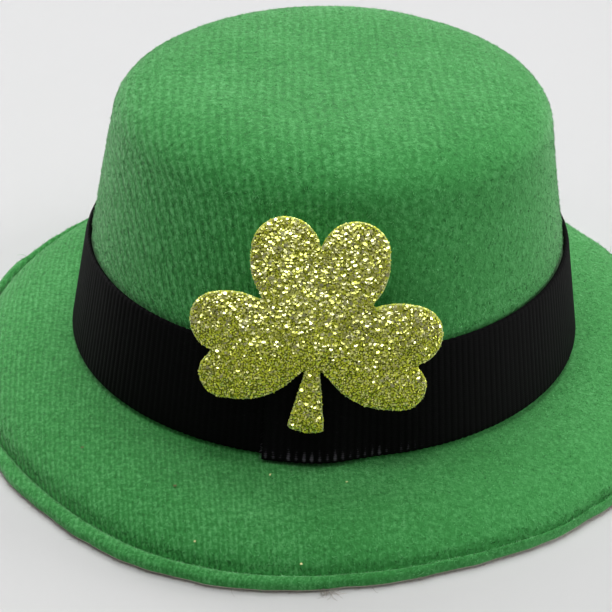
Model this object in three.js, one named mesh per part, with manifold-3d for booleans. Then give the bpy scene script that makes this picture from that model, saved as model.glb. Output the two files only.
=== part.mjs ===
// Top hat hair clip: a small pressed felt hat with a ribbon band, a foam shamrock at the front
// and a spring clip under the back of the brim.
// Millimetres, +Z up, the hat's front towards -Y, standing on z = 0 with the crown's axis at x = y = 0.
import * as THREE from "three";
import { mergeVertices } from "three/addons/utils/BufferGeometryUtils.js";
import Module from "manifold-3d";

const wasm = await Module();
wasm.setup();

const GAP = 0.3; // clearance between glued pieces
const AROUND = 64; // facets round the crown and brim

// The pressed body: crown, brim and flange in one skin.
const WALL = 1.6;
const OVAL = 1.075; // length over width of the crown
const CROWN = {
  footZ: 8.3, // where the straight wall starts
  footHalfWidth: 41.3,
  rimZ: 45.5, // where the straight wall ends
  rimHalfWidth: 35.8,
  topZ: 51.9,
  squareness: 6.1, // how square the rim is: 2 is an ellipse
  frontPull: 0.165, // share of its length by which the front half draws back at the top
  pullZ: 22, // where it starts to draw back
};
const CAP_DEGREES = [88.5, 85, 80, 74, 67, 59, 50, 40, 28, 14, 0];
const WALL_SHARES = [0.12, 0.25, 0.4, 0.58, 1]; // rim to foot
const BRIM = {
  edgeHalfWidth: 60.6,
  edgeHalfLength: 70.9,
  creaseHalfWidth: 60.2,
  creaseHalfLength: 69.3,
  creaseX: 1.6, // the trimmed edge and the pressed crease are not concentric
  creaseY: 1.3,
  leastFlange: 0.9,
  flangeZ: WALL,
  lipZ: 2.2, // the flange swells to this between the crease and the edge
  lipShare: 0.5,
  undercut: 0.7, // how far the trimmed edge slopes in below
};
// The brim's top face, from the foot of the crown out to the crease.
const BRIM_ROWS = [
  { share: 0.012, z: 7.3 },
  { share: 0.045, z: 6.85 },
  { share: 0.12, z: 6.75 },
  { share: 0.3, z: 6.6 },
  { share: 0.48, z: 6.25 },
  { share: 0.64, z: 5.65 },
  { share: 0.78, z: 4.75 },
  { share: 0.9, z: 3.4 },
  { share: 1, z: BRIM.flangeZ },
];

// How far the pressed and trimmed brim strays from a true oval, by azimuth from the front.
const STRAY_ROWS = [
  { degrees: -140, out: -0.2 },
  { degrees: -90, out: 0.3 },
  { degrees: -40, out: -0.9 },
  { degrees: -6, out: 1.1 },
  { degrees: 30, out: -0.75 },
  { degrees: 62, out: 0.8 },
  { degrees: 90, out: 0.3 },
  { degrees: 140, out: -0.5 },
  { degrees: 180, out: 1.1 },
];

// The ribbon band.
const BAND = {
  bottomZ: 7.6,
  height: 17.1,
  thickness: 1.0,
  outerEndDegrees: 0, // azimuth of the visible cut end, from the front towards +X
  lapDegrees: 11,
  rampDegrees: 14, // over which the outer lap comes down onto the crown
  lapDrop: 0.2, // how much lower the outer end hangs
  dropDegrees: 26, // over which it comes back up
  stations: 96,
};
const LAP_LIFT = BAND.thickness + 0.2;

// The foam shamrock, seen square on: x across, y up, both from its fixing point on the band.
const SHAMROCK = {
  thickness: 1.4,
  azimuthDegrees: 9.5,
  turnDegrees: -1.4, // in its own plane
  leanDegrees: 4, // beyond the lean of the crown's wall: its top comes back over the ribbon's edge
  fixingZ: 15.8,
  bendRadius: 55, // of its back face
  bendHalfDegrees: 24,
  bendSteps: 24,
  height: 40, // of the sheet it is cut from, and the drop of that sheet below the fixing point
  drop: 5,
  arcStepDegrees: 12,
};
// The right half of its outline from the top notch down: arcs run clockwise, corners have no radius.
const LEAF_ROWS = [
  { at: "top leaf's lobe", x: 5.28, y: 25.95, r: 5.25, from: 172, to: -2 },
  { at: "top leaf's flank", x: 2.2, y: 24.4, r: 8.4, from: 6, to: -42 },
  { at: "between the leaves", x: 8.4, y: 18, r: 0 },
  { at: "side leaf's top", x: 12.5, y: 9.3, r: 9.5, from: 113, to: 78 },
  { at: "side leaf's upper lobe", x: 14.6, y: 13.65, r: 4.8, from: 74, to: -58 },
  { at: "between its lobes", x: 15.6, y: 9.1, r: 0 },
  { at: "side leaf's lower lobe", x: 13.9, y: 5.4, r: 3.6, from: 44, to: -90 },
  { at: "side leaf's flank", x: 12, y: 13.9, r: 12, from: -90, to: -143 },
];
const STEM = [
  { at: "right of the neck", x: 1.05, y: 7.9 },
  { at: "foot", x: 2.35, y: -2.05 },
  { at: "foot, middle", x: -0.2, y: -2.4 },
  { at: "foot", x: -3.35, y: -1.75 },
  { at: "left of the neck", x: -1.05, y: 7.9 },
];

// The spring clip, drawn from its side: x along it, z up, the nose towards -X.
const CLIP = { width: 7.5, centreY: 47.4 };
const CLIP_SIDE = [
  { at: "upper handle", x: 23, z: 4.2 },
  { at: "upper nose", x: -23, z: 4.2 },
  { at: "upper nose, inside", x: -23.4, z: 3.4 },
  { at: "upper jaw", x: -14, z: 3.2 },
  { at: "spring, front", x: 3, z: 3.2 },
  { at: "spring, front", x: 3, z: 2.1 },
  { at: "lower jaw", x: -14, z: 2.2 },
  { at: "lower nose, inside", x: -22.4, z: 3.0 },
  { at: "lower nose", x: -23, z: 2.4 },
  { at: "lower jaw", x: -15, z: 1.1 },
  { at: "lower jaw, heel", x: 6, z: 0.8 },
  { at: "lower handle", x: 21.5, z: 0.45 },
  { at: "lower handle, inside", x: 21.5, z: 1.3 },
  { at: "spring, back", x: 10, z: 1.9 },
  { at: "spring, back", x: 10, z: 3.2 },
  { at: "upper handle, inside", x: 23, z: 3.4 },
];

const radians = THREE.MathUtils.degToRad;
const lerp = THREE.MathUtils.lerp;

// A point on an oval ring; the angle runs from the front (-Y) towards +X.
function onOval(angle, halfWidth, halfLength, z, x = 0, y = 0) {
  return new THREE.Vector3(x + halfWidth * Math.sin(angle), y - halfLength * Math.cos(angle), z);
}

function wallHalfWidth(z) {
  const share = (z - CROWN.footZ) / (CROWN.rimZ - CROWN.footZ);
  return lerp(CROWN.footHalfWidth, CROWN.rimHalfWidth, share);
}

// A point on the crown's wall, moved out by a distance.
function onWall(angle, z, out = 0) {
  const half = wallHalfWidth(z);
  return onOval(angle, half + out, half * OVAL + out, z);
}

// A point of the crown, drawn back if it is on the front half.
function drawnBack(point) {
  const height = Math.max(0, (point.z - CROWN.pullZ) / (CROWN.topZ - CROWN.pullZ));
  if (point.y < 0) point.y *= 1 - CROWN.frontPull * height ** 2;
  return point;
}

// The stray of the brim at an angle, eased from row to row.
function stray(angle) {
  const first = STRAY_ROWS[0];
  const rows = [...STRAY_ROWS, { degrees: first.degrees + 360, out: first.out }];
  const degrees = THREE.MathUtils.euclideanModulo(
    THREE.MathUtils.radToDeg(angle) - first.degrees, 360,
  ) + first.degrees;
  const next = rows.findIndex((row) => row.degrees > degrees);
  const from = rows[next - 1];
  const to = rows[next];
  return lerp(from.out, to.out, THREE.MathUtils.smoothstep(degrees, from.degrees, to.degrees));
}

function edgePoint(angle) {
  const out = stray(angle);
  return onOval(angle, BRIM.edgeHalfWidth + out, BRIM.edgeHalfLength + out, BRIM.flangeZ);
}

// The crease, kept inside the trimmed edge by the least width of the flange.
function creasePoint(angle) {
  const out = stray(angle);
  const edge = edgePoint(angle);
  const crease = onOval(
    angle,
    BRIM.creaseHalfWidth + out,
    BRIM.creaseHalfLength + out,
    BRIM.flangeZ,
    BRIM.creaseX,
    BRIM.creaseY,
  );
  const most = Math.hypot(edge.x, edge.y) - BRIM.leastFlange;
  const reach = Math.hypot(crease.x, crease.y);
  const keep = Math.min(1, most / reach);
  return new THREE.Vector3(crease.x * keep, crease.y * keep, BRIM.flangeZ);
}

// The top of the flange's swelling; its underside stays flat.
function lipPoint(angle) {
  const lip = new THREE.Vector3().lerpVectors(creasePoint(angle), edgePoint(angle), BRIM.lipShare);
  return lip.setZ(BRIM.lipZ);
}

// The lower corner of the trimmed edge, on the surface that the hat stands on.
function undersidePoint(angle) {
  const edge = edgePoint(angle);
  const keep = 1 - BRIM.undercut / Math.hypot(edge.x, edge.y);
  return new THREE.Vector3(edge.x * keep, edge.y * keep, 0);
}

// The outer face at one angle, as points from beside the crown's centre down to the trimmed edge.
function meridian(angle) {
  const points = [];
  const capHeight = CROWN.topZ - CROWN.rimZ;
  for (const degrees of CAP_DEGREES) {
    const reach = CROWN.rimHalfWidth * Math.cos(radians(degrees)) ** (2 / CROWN.squareness);
    const z = CROWN.rimZ + capHeight * Math.sin(radians(degrees));
    points.push(drawnBack(onOval(angle, reach, reach * OVAL, z)));
  }
  for (const share of WALL_SHARES) {
    points.push(drawnBack(onWall(angle, lerp(CROWN.rimZ, CROWN.footZ, share))));
  }
  const foot = points.at(-1);
  const crease = creasePoint(angle);
  for (const { share, z } of BRIM_ROWS) {
    points.push(new THREE.Vector3(lerp(foot.x, crease.x, share), lerp(foot.y, crease.y, share), z));
  }
  points.push(edgePoint(angle));
  return points;
}

// The same points moved inwards by the wall's thickness, square to the outer face.
function innerMeridian(outer, angle) {
  const away = onOval(angle, 1, 1, 0);
  const flat = outer.map((p) => new THREE.Vector2(p.x * away.x + p.y * away.y, p.z));
  flat.unshift(new THREE.Vector2(0, CROWN.topZ));
  return outer.map((point, i) => {
    const before = new THREE.Vector2().subVectors(flat[i + 1], flat[i]).normalize();
    const after = flat[i + 2]
      ? new THREE.Vector2().subVectors(flat[i + 2], flat[i + 1]).normalize()
      : before;
    const along = new THREE.Vector2().addVectors(before, after).normalize();
    const mitre = WALL / Math.max(0.5, along.dot(before));
    const moved = point.clone();
    moved.addScaledVector(away, along.y * mitre);
    moved.z -= along.x * mitre;
    return moved;
  });
}

// A closed mesh from a run of rings with a single point at each end.
function skinOfRings(first, rings, last) {
  const positions = [first, ...rings.flat(), last];
  const count = rings[0].length;
  const lastIndex = positions.length - 1;
  const index = [];
  const at = (ring, j) => 1 + ring * count + (j % count);
  for (let j = 0; j < count; j += 1) {
    index.push(0, at(0, j), at(0, j + 1));
    for (let i = 0; i + 1 < rings.length; i += 1) {
      index.push(at(i, j), at(i + 1, j), at(i + 1, j + 1));
      index.push(at(i, j), at(i + 1, j + 1), at(i, j + 1));
    }
    index.push(lastIndex, at(rings.length - 1, j + 1), at(rings.length - 1, j));
  }
  const geometry = new THREE.BufferGeometry().setFromPoints(positions);
  geometry.setIndex(index);
  return geometry;
}

function hatBodyGeometry() {
  const angles = Array.from({ length: AROUND }, (_, j) => (2 * Math.PI * j) / AROUND);
  const outer = angles.map(meridian);
  const inner = outer.map((points, j) => innerMeridian(points, angles[j]));
  const rows = outer[0].length;
  const rings = [];
  for (let i = 0; i < rows; i += 1) {
    if (i === rows - 1) rings.push(angles.map(lipPoint));
    rings.push(outer.map((points) => points[i]));
  }
  rings.push(angles.map(undersidePoint));
  for (let i = rows - 2; i >= 0; i -= 1) {
    rings.push(inner.map((points) => points[i]));
  }
  const top = new THREE.Vector3(0, 0, CROWN.topZ);
  const underTop = new THREE.Vector3(0, 0, CROWN.topZ - WALL);
  return skinOfRings(top, rings, underTop);
}

// The band as one strip from its outer end, once round the crown, to the end tucked under the lap.
function hatBandGeometry() {
  const turn = 360 + BAND.lapDegrees;
  const positions = [];
  for (let i = 0; i <= BAND.stations; i += 1) {
    const passed = (turn * i) / BAND.stations;
    const angle = radians(BAND.outerEndDegrees + passed);
    const down = THREE.MathUtils.smoothstep(passed, BAND.lapDegrees, BAND.lapDegrees + BAND.rampDegrees);
    const lift = GAP + LAP_LIFT * (1 - down);
    const drop = BAND.lapDrop * (1 - THREE.MathUtils.smoothstep(passed, 0, BAND.dropDegrees));
    const bottom = BAND.bottomZ - drop;
    const top = bottom + BAND.height;
    positions.push(onWall(angle, bottom, lift));
    positions.push(onWall(angle, bottom, lift + BAND.thickness));
    positions.push(onWall(angle, top, lift + BAND.thickness));
    positions.push(onWall(angle, top, lift));
  }
  const index = [0, 1, 2, 0, 2, 3];
  for (let i = 0; i < BAND.stations; i += 1) {
    for (let k = 0; k < 4; k += 1) {
      const a = 4 * i + k;
      const b = 4 * i + ((k + 1) % 4);
      index.push(a, b + 4, b, a, a + 4, b + 4);
    }
  }
  const e = 4 * BAND.stations;
  index.push(e, e + 2, e + 1, e, e + 3, e + 2);
  const geometry = new THREE.BufferGeometry().setFromPoints(positions);
  geometry.setIndex(index);
  return geometry;
}

// A closed mesh as a solid that can be cut, and back.
function solidOf(geometry) {
  const bare = new THREE.BufferGeometry();
  bare.setAttribute("position", geometry.getAttribute("position"));
  const merged = mergeVertices(bare, 1e-4);
  const mesh = new wasm.Mesh({
    numProp: 3,
    vertProperties: merged.getAttribute("position").array,
    triVerts: new Uint32Array(merged.index.array),
  });
  return new wasm.Manifold(mesh);
}

function geometryOf(solid) {
  const mesh = solid.getMesh();
  const geometry = new THREE.BufferGeometry();
  geometry.setAttribute("position", new THREE.BufferAttribute(mesh.vertProperties, 3));
  geometry.setIndex(new THREE.BufferAttribute(mesh.triVerts, 1));
  return geometry;
}

// The right half of the leaves' outline, from the top notch round to the neck.
function leafPoints() {
  const points = [];
  for (const { x, y, r, from = 0, to = 0 } of LEAF_ROWS) {
    const steps = Math.ceil((from - to) / SHAMROCK.arcStepDegrees);
    for (let i = 0; i <= steps; i += 1) {
      const angle = radians(lerp(from, to, steps ? i / steps : 0));
      points.push(new THREE.Vector2(x + r * Math.cos(angle), y + r * Math.sin(angle)));
    }
  }
  return points;
}

function shamrockShape() {
  const right = leafPoints();
  const left = right.map((p) => new THREE.Vector2(-p.x, p.y)).reverse();
  const stem = STEM.map(({ x, y }) => new THREE.Vector2(x, y));
  return new THREE.Shape([...right, ...stem, ...left].reverse());
}

// The bent foam sheet: x across, y up, z forward, its back face touching the origin.
function bentSheet() {
  const half = radians(SHAMROCK.bendHalfDegrees);
  const upright = Math.PI / 2;
  const inside = SHAMROCK.bendRadius;
  const outside = inside + SHAMROCK.thickness;
  const sector = new THREE.Shape();
  sector.absarc(0, -inside, outside, upright - half, upright + half, false);
  sector.absarc(0, -inside, inside, upright + half, upright - half, true);
  const sheet = new THREE.ExtrudeGeometry(sector, {
    depth: SHAMROCK.height,
    bevelEnabled: false,
    curveSegments: SHAMROCK.bendSteps,
  });
  return sheet.rotateX(Math.PI / 2).translate(0, SHAMROCK.height - SHAMROCK.drop, 0);
}

// The shamrock cut from the bent sheet and leaned back with the crown's wall.
function shamrockGeometry() {
  const reach = 2 * SHAMROCK.bendRadius;
  const cutter = new THREE.ExtrudeGeometry(shamrockShape(), { depth: reach, bevelEnabled: false });
  cutter.translate(0, 0, -reach / 2);
  const cut = geometryOf(solidOf(bentSheet()).intersect(solidOf(cutter)));

  const azimuth = radians(SHAMROCK.azimuthDegrees);
  const out = onOval(azimuth, 1, 1, 0);
  const across = new THREE.Vector3(Math.cos(azimuth), Math.sin(azimuth), 0);
  const wallLean = Math.atan2(CROWN.footHalfWidth - CROWN.rimHalfWidth, CROWN.rimZ - CROWN.footZ);
  const lean = Math.tan(wallLean + radians(SHAMROCK.leanDegrees));
  const up = new THREE.Vector3(0, 0, 1).addScaledVector(out, -lean).normalize();
  const forward = new THREE.Vector3().crossVectors(across, up);
  const toBandTop = BAND.bottomZ + BAND.height - SHAMROCK.fixingZ;
  const leanRoom = toBandTop * Math.tan(radians(SHAMROCK.leanDegrees));
  const standOff = 2 * GAP + LAP_LIFT + BAND.thickness + leanRoom;
  const place = new THREE.Matrix4().makeBasis(across, up, forward);
  place.multiply(new THREE.Matrix4().makeRotationZ(radians(SHAMROCK.turnDegrees)));
  place.setPosition(onWall(azimuth, SHAMROCK.fixingZ, standOff));
  return cut.applyMatrix4(place);
}

function hairClipGeometry() {
  const side = new THREE.Shape(CLIP_SIDE.map(({ x, z }) => new THREE.Vector2(x, z)));
  const clip = new THREE.ExtrudeGeometry(side, { depth: CLIP.width, bevelEnabled: false });
  return clip.rotateX(Math.PI / 2).translate(0, CLIP.centreY + CLIP.width / 2, 0);
}

function piece(name, geometry, color, roughness, metalness = 0) {
  const mesh = new THREE.Mesh(geometry, new THREE.MeshStandardMaterial({ color, roughness, metalness }));
  mesh.name = name;
  return mesh;
}

const hat = new THREE.Group();
hat.name = "top_hat_hair_clip";
hat.add(piece("hat_body", hatBodyGeometry(), 0x2f8a48, 0.95));
hat.add(piece("hat_band", hatBandGeometry(), 0x0d0d0e, 0.8));
hat.add(piece("shamrock", shamrockGeometry(), 0xa9a53f, 0.45));
hat.add(piece("hair_clip", hairClipGeometry(), 0xb8bcc0, 0.35, 1));

export default hat;
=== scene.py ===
"""Top hat hair clip: a small pressed felt hat with a ribbon band, a glitter foam shamrock at the
front and a spring clip under the back of the brim.

Pieces are worked out in millimetres and stored in metres. +Z is up, the hat's front faces -Y, and it
stands on z = 0 with the crown's axis at x = y = 0. Angles run from the front towards +X.
"""
import math
from types import SimpleNamespace

import bpy
import numpy as np
from mathutils import Matrix, Vector
from mathutils.geometry import delaunay_2d_cdt

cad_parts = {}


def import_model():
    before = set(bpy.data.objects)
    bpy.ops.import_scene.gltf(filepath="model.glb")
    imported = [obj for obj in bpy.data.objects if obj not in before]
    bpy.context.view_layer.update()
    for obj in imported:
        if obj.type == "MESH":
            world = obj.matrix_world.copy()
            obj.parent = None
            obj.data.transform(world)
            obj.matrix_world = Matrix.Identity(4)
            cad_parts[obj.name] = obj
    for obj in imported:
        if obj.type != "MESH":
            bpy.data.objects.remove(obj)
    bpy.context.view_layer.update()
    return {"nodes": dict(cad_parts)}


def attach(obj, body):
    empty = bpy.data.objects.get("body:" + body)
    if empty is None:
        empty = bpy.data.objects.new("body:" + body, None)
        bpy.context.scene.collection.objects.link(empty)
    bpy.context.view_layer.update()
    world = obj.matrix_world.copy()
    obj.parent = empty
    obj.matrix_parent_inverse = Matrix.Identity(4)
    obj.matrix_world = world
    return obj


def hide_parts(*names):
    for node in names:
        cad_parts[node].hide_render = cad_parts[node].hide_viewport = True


MM = 0.001
SEED = 20
BODY = "root"
GAP = 0.3  # clearance between glued pieces
TINY = 1e-12
THIRDS = (0.0, 2.0 * math.pi / 3.0, 4.0 * math.pi / 3.0)

# The pressed felt body: crown, brim and flange in one skin.
WALL = 1.6
OVAL = 1.075  # length over width of the crown
CROWN = SimpleNamespace(
    foot_z=8.3,
    foot_half_width=41.3,
    rim_z=45.5,
    rim_half_width=35.8,
    top_z=51.9,
    squareness=6.1,
    front_pull=0.165,  # share of its length by which the front half draws back at the top
    pull_z=22.0,
    cap_steps=500,
    smoothing=3,
)
BRIM = SimpleNamespace(
    edge_half_width=60.6,
    edge_half_length=70.9,
    crease_half_width=60.2,
    crease_half_length=69.3,
    crease_x=1.6,
    crease_y=1.3,
    least_flange=0.9,
    rounding=2,
)
# The brim's top face from the crown's foot out to the crease: share of the way, height.
BRIM_ROWS = [
    (0.0, 8.3), (0.012, 7.3), (0.045, 6.85), (0.12, 6.75), (0.3, 6.6), (0.48, 6.25),
    (0.64, 5.7), (0.78, 4.85), (0.89, 3.75), (0.955, 2.6), (1.0, 0.75),
]
CREASE_Z = BRIM_ROWS[-1][1]
# How far the brim strays from a true oval: degrees from the front, millimetres outwards.
STRAY_ROWS = [
    (-140, -0.2), (-90, 0.3), (-40, -0.9), (-6, 1.1), (30, -0.75),
    (62, 0.8), (90, 0.3), (140, -0.5), (180, 1.1),
]
FELT_AROUND = 320
FELT_STEP = 0.8  # between rows of the crown
# The swollen flange from the crease out: share of the way, height.
FLANGE_ROWS = [
    (0.04, 0.82), (0.1, 1.12), (0.2, 1.6), (0.34, 2.0),
    (0.5, 2.14), (0.66, 2.08), (0.82, 1.9), (0.94, 1.66),
]
NARROW_FLANGE = 0.9
WIDE_FLANGE = 3.0
NARROW_SWELL = 0.4  # share of the swelling that is left where the flange is narrow
# The cut edge of the flange from its top corner down: inset from the edge, height.
CUT_ROWS = [
    (0.06, 1.5), (0.0, 1.28), (-0.02, 1.05), (-0.02, 0.86), (0.02, 0.56),
    (0.16, 0.34), (0.34, 0.16), (0.48, 0.04), (0.55, 0.0),
]
GREEN_CUT_ROWS = 4  # the knit shows on these, the backing on the rest
# The nap is brushed up over the wales on the right of the hat, and a little on the crown's top.
BRUSHED_BRIM = (-6, 34)
BRUSHED_WALL = (0, 26)
BRUSHED_TOP = 0.25
BRUSHED_FOOT = 1.0  # above the crown's foot, up to which it is brushed like the brim
BRUSHED_RIM = (2.2, 0.3)  # from the crown's top, over which the wall's brushing passes into the top's
# Unevenness left by pressing: waves round the hat, turn with each millimetre out, start, height.
WAVE_ROWS = [(3, 0.09, 0.7, 0.04), (5, -0.13, 2.1, 0.04), (9, 0.21, 4.0, 0.028), (14, -0.3, 0.0, 0.02)]
WAVE_RISE = (4.0, 20.0)  # from the crown's centre, over which it sets in
WAVE_FADE = (9.0, 5.0)  # from the brim's edge, over which it ends
# Unevenness left by trimming: waves round the hat, where they start, height.
TRIM_ROWS = [(17, 0.4, 0.1), (29, 1.9, 0.09), (47, 3.1, 0.06), (83, 5.0, 0.04)]
# The flat layout of the body: centre and radius of a disc for the outside and one for the inside.
OUTSIDE_DISC = (0.34, 0.64, 0.33)
INSIDE_DISC = (0.85, 0.15, 0.14)

# The knit face: a flat disc of fabric drawn over the form. Distance along the form from the crown's
# centre, and distance in the flat fabric.
STRETCH_ROWS = [(0, 0), (39, 33), (56, 43), (78, 66), (97, 92), (112, 111)]
WALE_AXIS = math.radians(15)  # the wales run along this azimuth
WALE_PITCH = 1.25
FABRIC_STEPS = 800
FABRIC_TURN = 0.3  # fabric between the rings past the brim's edge
TUFT_PITCH = 0.62  # between the brushed tufts along a wale
CREASE_SHADE_REACH = 0.55  # how far to each side of the crease the knit gets painted shade
STEEP = (0.2, 0.8)  # fall of the felt's normal, over which it passes from flat to wall

# The brushed fibres on the knit. Strays are shares of the pitches, and turns are in radians.
NAP = SimpleNamespace(
    count=300000,  # sown over the fabric
    wale_tufts=10000,  # more than the tufts on any wale
    most=49000,  # in one piece
    length=(0.35, 0.68),
    width=(0.1, 0.15),
    lean=(10.0, 40.0),  # degrees up from the felt
    sink=0.05,
    roundness=0.9,  # how far a fibre's shading turns from that of the felt under it
    tuft_stray=(0.19, 0.3),  # of a tuft from its place, across and along the wale
    stray=(0.2, 0.24),  # of a fibre from its tuft
    flat_scatter=0.22,  # how far brushing draws fibres off their wales where the felt lies flat
    flange_scatter=0.4,
    ahead=0.4,  # how far along the wale its direction is taken
    tuft_turn=0.6,
    turn=0.5,
    backward=0.4,  # share that lies the other way
    tuft_length=0.15,  # how much tufts differ in length
    tuft_limit=1.5,
    tuft_tone=0.8,
    tone=0.6,
    flat_spread=0.65,  # how much fibres differ in tone where the felt lies flat
    wall_spread=1.25,  # and where it is drawn down the wall; the wider spread there is partly the stretched knit's own texture, partly painted shade between tufts under grazing light
    tones=(-0.6, 0.5),  # spread at which fibres turn dark and light
    crease_shade_rows=2.5,  # rows on each side of the crease whose fibres get painted shade
    crease_shade_tone=2.0,
    bare_rows=0.8,  # rows on each side of the crease without fibres
    edge_rows=1.4,  # and at the edge
    foot_margin=0.6,
    tucked=0.5,  # how far down behind the ribbon the nap goes
    top_z=43.0,  # where the piece on the crown's top begins
)
# Stray fibres of the trimmed edge, some of them in one loose curl.
EDGE = SimpleNamespace(
    count=2600,
    loose_count=26,
    loose_at=math.radians(14.8),
    loose_width=0.008,  # in radians
    loose_length=1.6,  # times the others' length
    loose_curl=2.2,  # times the others' curl
    low_share=0.6,  # out of the backing
    low_z=(0.08, 0.7),
    high_z=(0.8, 1.55),
    long_share=0.03,
    long=(1.0, 2.2),
    short=(0.2, 0.65),
    swing=0.8,
    curl=1.1,
    root=0.12,
    rise=0.25,
    span_z=(0.06, 2.2),
    radius=(0.02, 0.038),
    steps=5,
)
TUBE_TIP = 0.55  # thickness of a tube's end as a share of its start
TUBE_HELPER = np.array([0.31, 0.17, 0.93])  # a direction that no tube runs along

# The ribbon band.
BAND = SimpleNamespace(
    bottom_z=7.6,
    height=17.1,
    thickness=0.75,
    lap_degrees=11,
    ramp_degrees=14,
    lap_lift=0.98,
    lap_drop=0.2,
    drop_degrees=26,
    lap_flare=0.45,  # how far the lower edge of the lap stands out
    flare_height=4.0,
    highlight_height=2.6,  # how far up the lap's lower edge the ribs get a painted highlight
    highlight_from=0.6,
    highlight_degrees=(18, 45),
    route_steps=6000,
)
RIB_PITCH = 1.14
RIB_HEIGHT = 0.085
RIB_STEPS = 6
RIB_ROUNDNESS = 0.7
RIB_SIZES = (0.75, 1.15)
RIB_HIGHLIGHT = (0.6, 1.0)  # how strongly single ribs get the painted highlight at the lap
SCALLOP = 0.1  # how far a rib stands out at the selvages
YARN_PITCH = 0.34
# Across the ribbon from its lower selvage: share of the height, share of the thickness.
BAND_ROWS = [
    (0.0, 0.5), (0.012, 0.85), (0.04, 1.0), (0.085, 1.0), (0.14, 1.0), (0.3, 1.0), (0.5, 1.0),
    (0.7, 1.0), (0.86, 1.0), (0.96, 1.0), (0.988, 0.85), (1.0, 0.5),
    (0.985, 0.0), (0.66, 0.0), (0.33, 0.0), (0.015, 0.0),
]
# Ends of yarn at the ribbon's cut end.
THREADS = SimpleNamespace(
    count=34,
    height=(0.02, 1.0),  # share of the ribbon's height
    gather=1.6,  # how far they gather towards the lower edge
    depth=(0.15, 0.95),
    length=(0.15, 0.6),
    forward=(-0.1, 0.25),  # mean and spread
    upward=(-0.25, 0.35),  # mean and spread
    sag=(0.0, 0.5),
    radius=(0.03, 0.05),
    tucked=-0.3,
    steps=5,
)

# The foam shamrock: x across, y up, both from its fixing point on the band.
SHAMROCK = SimpleNamespace(
    thickness=1.4,
    azimuth=math.radians(9.5),
    turn=math.radians(-1.4),
    lean=math.radians(4),  # beyond the lean of the crown's wall
    curl=0.0035,  # how fast the top leaf bends back towards the crown
    curl_from=16.0,
    fixing_z=15.8,
    bend_radius=55.0,
    stand_off=3.42,
    arc_step=4,
    outline_step=0.3,
    corner_passes=4,  # how far the die rounds the outline's corners
)
# The right half of its outline from the top notch: centre x and y, radius, first and last degrees.
LEAF_ROWS = [
    (5.28, 25.95, 5.25, 172, -2),
    (2.2, 24.4, 8.4, 6, -42),
    (8.4, 18.0, 0.0, 0, 0),
    (12.5, 9.3, 9.5, 113, 78),
    (14.6, 13.65, 4.8, 74, -58),
    (15.6, 9.1, 0.0, 0, 0),
    (13.9, 5.4, 3.6, 44, -90),
    (12.0, 13.9, 12.0, -90, -143),
]
STEM = [(1.05, 7.9), (2.35, -2.05), (-0.2, -2.4), (-3.35, -1.75), (-1.05, 7.9)]
# Its pressed edge from the back to the front: inset from the outline, height above the back.
FOAM_ROWS = [(0.2, 0.0), (0.04, 0.1), (0.0, 0.3), (0.02, 0.55), (0.0, 0.76), (0.05, 0.9), (0.15, 0.98)]
DOME_HEIGHT = 0.6  # how far the middle of a leaf stands above its edge
DOME_REACH = 4.5
FOAM_GRID = 0.9
GRID_MARGIN = 0.45  # share of the grid that is left free beside the outline
INSET_STEP = 0.06
SLOPE_STEP = 0.05

FLAKE_SIDES = 6
FLAKE_DEPTH = 0.05
FACING_UP = 0.9  # rise of a normal past which a flake is turned about another axis
FLAKE_SHAPE = (0.6, 1.2)  # reach of a flake's corners, as shares of its radius
RIM_REACH = 0.8  # over which the flakes at the rim lie flatter
UPPER_EDGE = (-0.6, 0.0)  # rise of the way inwards, over which the bare rim widens
UPPER_MARGIN = 0.3  # share of the bare rim that is left on the upper edges
MARGIN_SPREAD = (0.6, 1.4)
# Fine flakes that lie in the glue.
FINE = SimpleNamespace(
    spacing=0.28,
    radius=(0.11, 0.22),
    height=(0.03, 0.13),
    tilt=0.37,  # spread of their lean, in radians
    rim_tilt=0.5,  # share of it at the rim
    margin=0.13,  # bare rim of the foam
    tones=(0.34, 0.36, 0.3),  # shares of bright, olive and lime flakes
)
# Fine flakes that hang over the cut edge, most of them on the upper edges.
OVERHANG = SimpleNamespace(
    count=2600,
    radius=(0.08, 0.17),
    height=(0.45, 1.02),
    shares=(0.85, 0.16),  # on the upper edges and on the others
    upper=(-0.1, 0.5),  # rise of the way outwards, over which the upper edges begin
    stand_off=0.02,
    forward=(0.2, 0.9),
)
# Large flakes that lie over the fine ones, most of them on the upper parts of the leaves.
LARGE = SimpleNamespace(
    spacing=0.42,
    radius=(0.13, 0.36),
    height=(0.12, 0.2),
    margin=0.26,
    lean=0.75,  # how far they lean up
    tilt=0.22,
    white=0.55,  # share of them that flash nearly white
    share=0.15,
    upper_share=0.75,  # added on the upper leaf
    upper=(8.0, 20.0),
    slope_share=1.6,  # added where the swollen leaf faces up
)

# Glitter and lint that have come off onto the brim: place, size and whether it glitters.
SPECK_ROWS = [
    (11.38, -66.14, 0.22, True),
    (1.9, -50.25, 0.24, True),
    (13.79, -49.24, 0.2, True),
    (-5.67, -66.14, 0.2, True),
    (-11.17, -56.01, 0.38, False),
    (-28.49, -48.66, 0.36, False),
]
SPECK_LIFT = 0.32
SPECK_TILT = 0.2

# Display colours of the materials.
KNIT_MEAN = 0.75  # the middle of the knit's tone
KNIT_DARK = (32, 100, 40)
KNIT_MID = (60, 146, 70)
KNIT_LIGHT = (104, 186, 113)
RIBBON_DARK = (3, 3, 3)
RIBBON_LIGHT = (11, 10, 12)
# Pale purple-grey painted highlight where the lap's ribs catch light.
RIBBON_HIGHLIGHT = (94, 88, 98)
GREEN_SHEEN = (190, 230, 190)
GREY_SHEEN = (220, 215, 210)
DARK_SHEEN = (120, 118, 124)
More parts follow.
